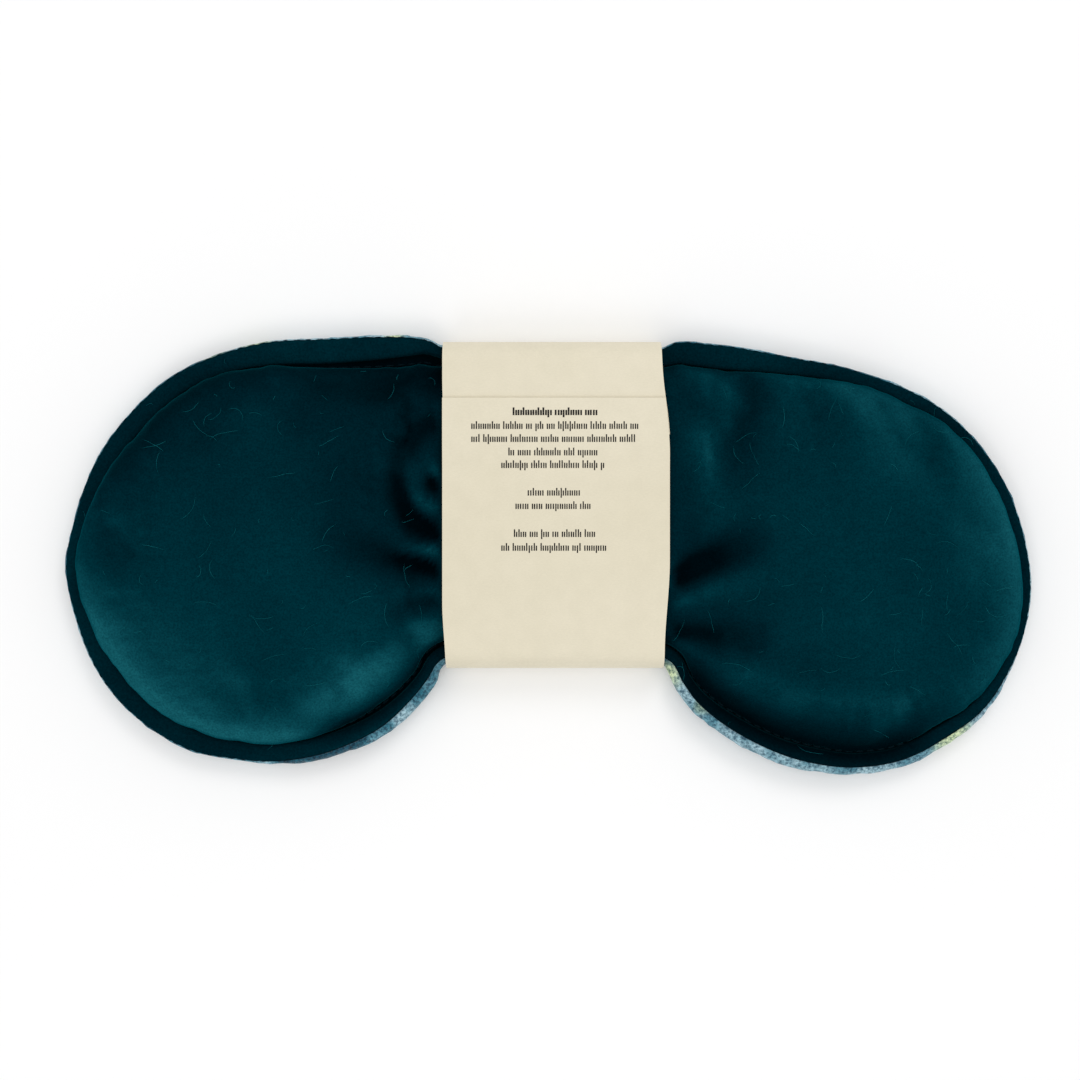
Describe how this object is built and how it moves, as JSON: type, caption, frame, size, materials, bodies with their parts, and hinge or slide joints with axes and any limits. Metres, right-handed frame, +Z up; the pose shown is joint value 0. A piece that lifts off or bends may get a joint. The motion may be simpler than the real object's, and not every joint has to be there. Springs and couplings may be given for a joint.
{
  "type": "herb-filled eye pillow in a belly band",
  "caption": "Strapless kidney-shaped eye pillow of velvet and printed plush, filled with loose grain and herbs, flexing beside its nose bridge, in a slide-off card belly band.",
  "frame": {"origin": "under the middle of the whole part, on the surface it lies on", "axes": "+X along the pillow towards the lobe whose upper edge slopes, +Y towards the forehead edge, +Z up out of the velvet face"},
  "size_m": [0.25, 0.1136, 0.0164],
  "materials": {
    "velvet": "dark teal velvet, short pile",
    "printed_plush": "blue and green printed plush",
    "grain_fill": "loose rice, flax seed and dried herbs",
    "sewing_thread": "polyester thread",
    "card": "uncoated cream card",
    "band_glue": "dried glue"
  },
  "bodies": {
    "bridge": {"velvet_bridge": "velvet", "plush_bridge": "printed_plush", "grain_bridge": "grain_fill", "edge_seam_bridge_upper": "sewing_thread", "edge_seam_bridge_lower": "sewing_thread", "topstitch_bridge_upper": "sewing_thread", "topstitch_bridge_lower": "sewing_thread"},
    "left_lobe": {"velvet_left": "velvet", "plush_left": "printed_plush", "grain_left": "grain_fill", "edge_seam_left": "sewing_thread", "topstitch_left": "sewing_thread"},
    "right_lobe": {"velvet_right": "velvet", "plush_right": "printed_plush", "grain_right": "grain_fill", "edge_seam_right": "sewing_thread", "topstitch_right": "sewing_thread"},
    "belly_band": {"card_band": "card", "band_glue": "band_glue"}
  },
  "joints": [
    {"name": "left_flex", "type": "hinge", "parent": "bridge", "child": "left_lobe", "pos_m": [-0.033, 0, 0.005], "axis": [0, 1, 0], "range_deg": [-45, 45]},
    {"name": "right_flex", "type": "hinge", "parent": "bridge", "child": "right_lobe", "pos_m": [0.0362, 0, 0.005], "axis": [0, -1, 0], "range_deg": [-45, 45]},
    {"name": "band_slide", "type": "slide", "parent": "bridge", "child": "belly_band", "axis": [1, 0, 0], "range_m": [-0.16, 0.16], "deforming": ["velvet_left", "plush_left", "grain_left", "edge_seam_left", "topstitch_left", "velvet_right", "plush_right", "grain_right", "edge_seam_right", "topstitch_right"]}
  ]
}
